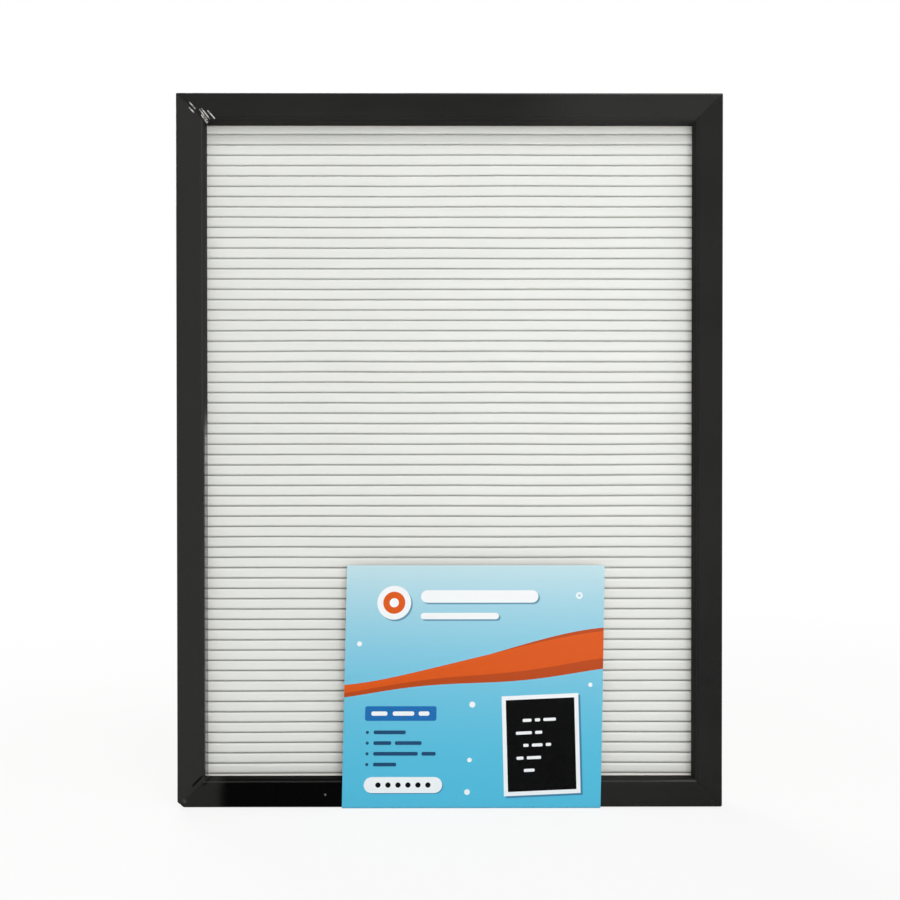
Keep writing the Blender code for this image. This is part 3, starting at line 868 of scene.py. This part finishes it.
def build_pleats(foil):
    """Short pleats of foil beside the upper left mitre, each a low ridge that fades at its ends."""
    for number, (across_start, across_end, start, end) in enumerate(PLEATS, 1):
        vertices = []
        for station in range(PLEAT_STATIONS + 1):
            share = station / PLEAT_STATIONS
            along = (start + (end - start) * share) * MM
            across = (across_start + (across_end - across_start) * share) * MM
            rise = PLEAT_HEIGHT * math.sin(math.pi * share) ** 0.5
            shifts = [PLEAT_WIDTH * (step / PLEAT_STEPS - 0.5) for step in range(PLEAT_STEPS + 1)]
            heights = [
                rise * (0.5 + 0.5 * math.cos(math.tau * shift / PLEAT_WIDTH)) - PLEAT_SUNK
                for shift in shifts
            ]
            section = [*zip(shifts, heights), (shifts[-1], -PLEAT_ROOT), (shifts[0], -PLEAT_ROOT)]
            for shift, height in section:
                from_mitre = across + shift * math.sqrt(2)
                side, below_top = (along + from_mitre) / 2, (along - from_mitre) / 2
                y = FRONT_Y + face_depth(min(side, below_top)) - height
                vertices.append((side - HALF_WIDTH, y, TOP_Z - below_top))
        faces = bridge(len(section), PLEAT_STATIONS + 1)
        new_piece(f"foil_pleat_{number}", vertices, faces, [foil])


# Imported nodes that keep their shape


def finish_nodes():
    """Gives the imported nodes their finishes. The letter panel and the label card are built anew."""
    foil, steel, hardboard = foil_wrapped_fibreboard(), zinc_plated_steel(), pressed_hardboard()
    for name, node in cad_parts.items():
        if name in ("letter_panel", "label_card"):
            continue
        if name.startswith("rail_"):
            finish = foil
        elif name == "backing_board":
            finish = hardboard
        else:
            finish = steel
        node.data.materials.clear()
        node.data.materials.append(finish)


# Stage


def shown_rays(material):
    """1 for rays of the camera, and of what gloss and glass show, else 0."""
    rays = add_node(material, "LightPath").outputs
    shown = add_node(material, "Math", rays["Is Camera Ray"], rays["Is Glossy Ray"], operation="MAXIMUM")
    return add_node(material, "Math", shown, rays["Is Transmission Ray"], operation="MAXIMUM")


def new_stage(name, vertices, faces, material):
    """A piece of the studio, which is no part of the board."""
    piece = new_mesh(name, vertices, faces, [material])
    return piece


def build_floor():
    """A white floor that keeps the board's shadow, and turns into the white of the room further off."""
    material = bpy.data.materials.new("white_floor")
    material.use_nodes = True
    nodes = material.node_tree.nodes
    connect(material, Base_Color="#F6F6F4", Roughness=0.9, Specular_IOR_Level=0.0)
    place = add_node(material, "TexCoord").outputs["Object"]
    far = add_node(material, "VectorMath", place, operation="LENGTH")
    lift = add_node(material, "MapRange", far, FLOOR_NEAR, FLOOR_FAR, FLOOR_GLOW, 1)
    share = overlap(material, shown_rays(material), lift)
    glow = add_node(material, "Emission", "#FFFFFF", 1.0)
    mixed = add_node(material, "MixShader", share, nodes["Principled BSDF"], glow)
    feed(material.node_tree, nodes["Material Output"].inputs["Surface"], mixed)
    half, height = FLOOR_SIZE / 2, cad_box[0].z - FLOOR_BELOW
    corners = [(-half, -half, height), (half, -half, height), (half, half, height), (-half, half, height)]
    new_stage("white_floor", corners, [(0, 1, 2, 3)], material)


def build_dark_tent():
    """A dark tent in front of the board, which only gloss shows, so that the black foil stays black."""
    material = bpy.data.materials.new("dark_cloth")
    material.use_nodes = True
    dark = add_node(material, "Emission", TENT_COLOUR, 1.0)
    feed(material.node_tree, material.node_tree.nodes["Material Output"].inputs["Surface"], dark)
    ground = cad_box[0].z - TENT_BELOW
    profile = [(FRONT_Y + TENT_OVERLAP, ground)]
    for step in range(TENT_STEPS + 1):
        angle = math.pi / 2 * step / TENT_STEPS
        run = TENT_REACH - TENT_ROUND * (1 - math.sin(angle))
        profile.append((FRONT_Y - run, ground + TENT_ROUND * (1 - math.cos(angle))))
    profile += [(FRONT_Y - TENT_REACH, TENT_HEIGHT), (FRONT_Y + TENT_OVERLAP, TENT_HEIGHT)]
    vertices = [(side * TENT_WIDTH / 2, y, z) for y, z in profile for side in (-1, 1)]
    faces = [(row, row + 1, row + 3, row + 2) for row in range(0, len(vertices) - 2, 2)]
    faces += [tuple(range(side, len(vertices), 2)) for side in (0, 1)]
    tent = new_stage("dark_tent", vertices, faces, material)
    tent.visible_camera = False
    tent.visible_diffuse = False
    tent.visible_shadow = False
    tent.visible_transmission = False


def light_room():
    """A white room, seen at full white, that lights the board softly and more from above."""
    world = bpy.data.worlds.new("white_room")
    world.use_nodes = True
    bpy.context.scene.world = world
    background = world.node_tree.nodes["Background"]
    background.inputs["Color"].default_value = linear("#FFFFFF")
    direction = add_node(world, "TexCoord").outputs["Generated"]
    _, _, height = add_node(world, "SeparateXYZ", direction).outputs
    light = add_node(world, "MapRange", height, -1, 1, ROOM_BELOW, ROOM_ABOVE)
    level = add_node(world, "Mix", shown_rays(world), light, 1.0)
    feed(world.node_tree, background.inputs["Strength"], level)


def hang_lamp(name, location, width, height, power, in_gloss=True):
    """A soft lamp, aimed at the middle of the board. Gloss doesn't show a lamp that is kept out of it."""
    light = bpy.data.lights.new(name, "AREA")
    light.shape = "RECTANGLE"
    light.size = width
    light.size_y = height
    light.energy = power
    lamp = bpy.data.objects.new(name, light)
    lamp.location = location
    towards = Vector((0, 0, MIDDLE_Z)) - lamp.location
    lamp.rotation_euler = towards.to_track_quat("-Z", "Y").to_euler()
    lamp.visible_glossy = in_gloss
    bpy.context.scene.collection.objects.link(lamp)


def set_camera():
    """The camera, with a lens that sees SEEN_WIDTH at the plane of the frame's front."""
    camera = bpy.data.cameras.new("camera")
    camera.sensor_width = SENSOR
    camera.lens = SENSOR * CAMERA_DISTANCE / SEEN_WIDTH
    camera.shift_y = CAMERA_SHIFT
    camera.clip_start = 0.01
    holder = bpy.data.objects.new("camera", camera)
    holder.location = (CAMERA_X, FRONT_Y - CAMERA_DISTANCE, CAMERA_Z)
    holder.rotation_euler = [math.radians(turn) for turn in (90 + CAMERA_PITCH, CAMERA_ROLL, CAMERA_YAW)]
    bpy.context.scene.collection.objects.link(holder)
    bpy.context.scene.camera = holder


# The whole board

finish_nodes()
build_letter_panel(extruded_polystyrene())
build_label_card()
build_glue_lines(dried_glue())
build_pleats(foil_painted_glints())

build_floor()
build_dark_tent()
light_room()
hang_lamp("top_lamp", *TOP_LAMP)
hang_lamp("front_lamp", *FRONT_LAMP, in_gloss=False)
hang_lamp("back_lamp", *BACK_LAMP)
set_camera()
bpy.context.scene.view_settings.view_transform = "Standard"
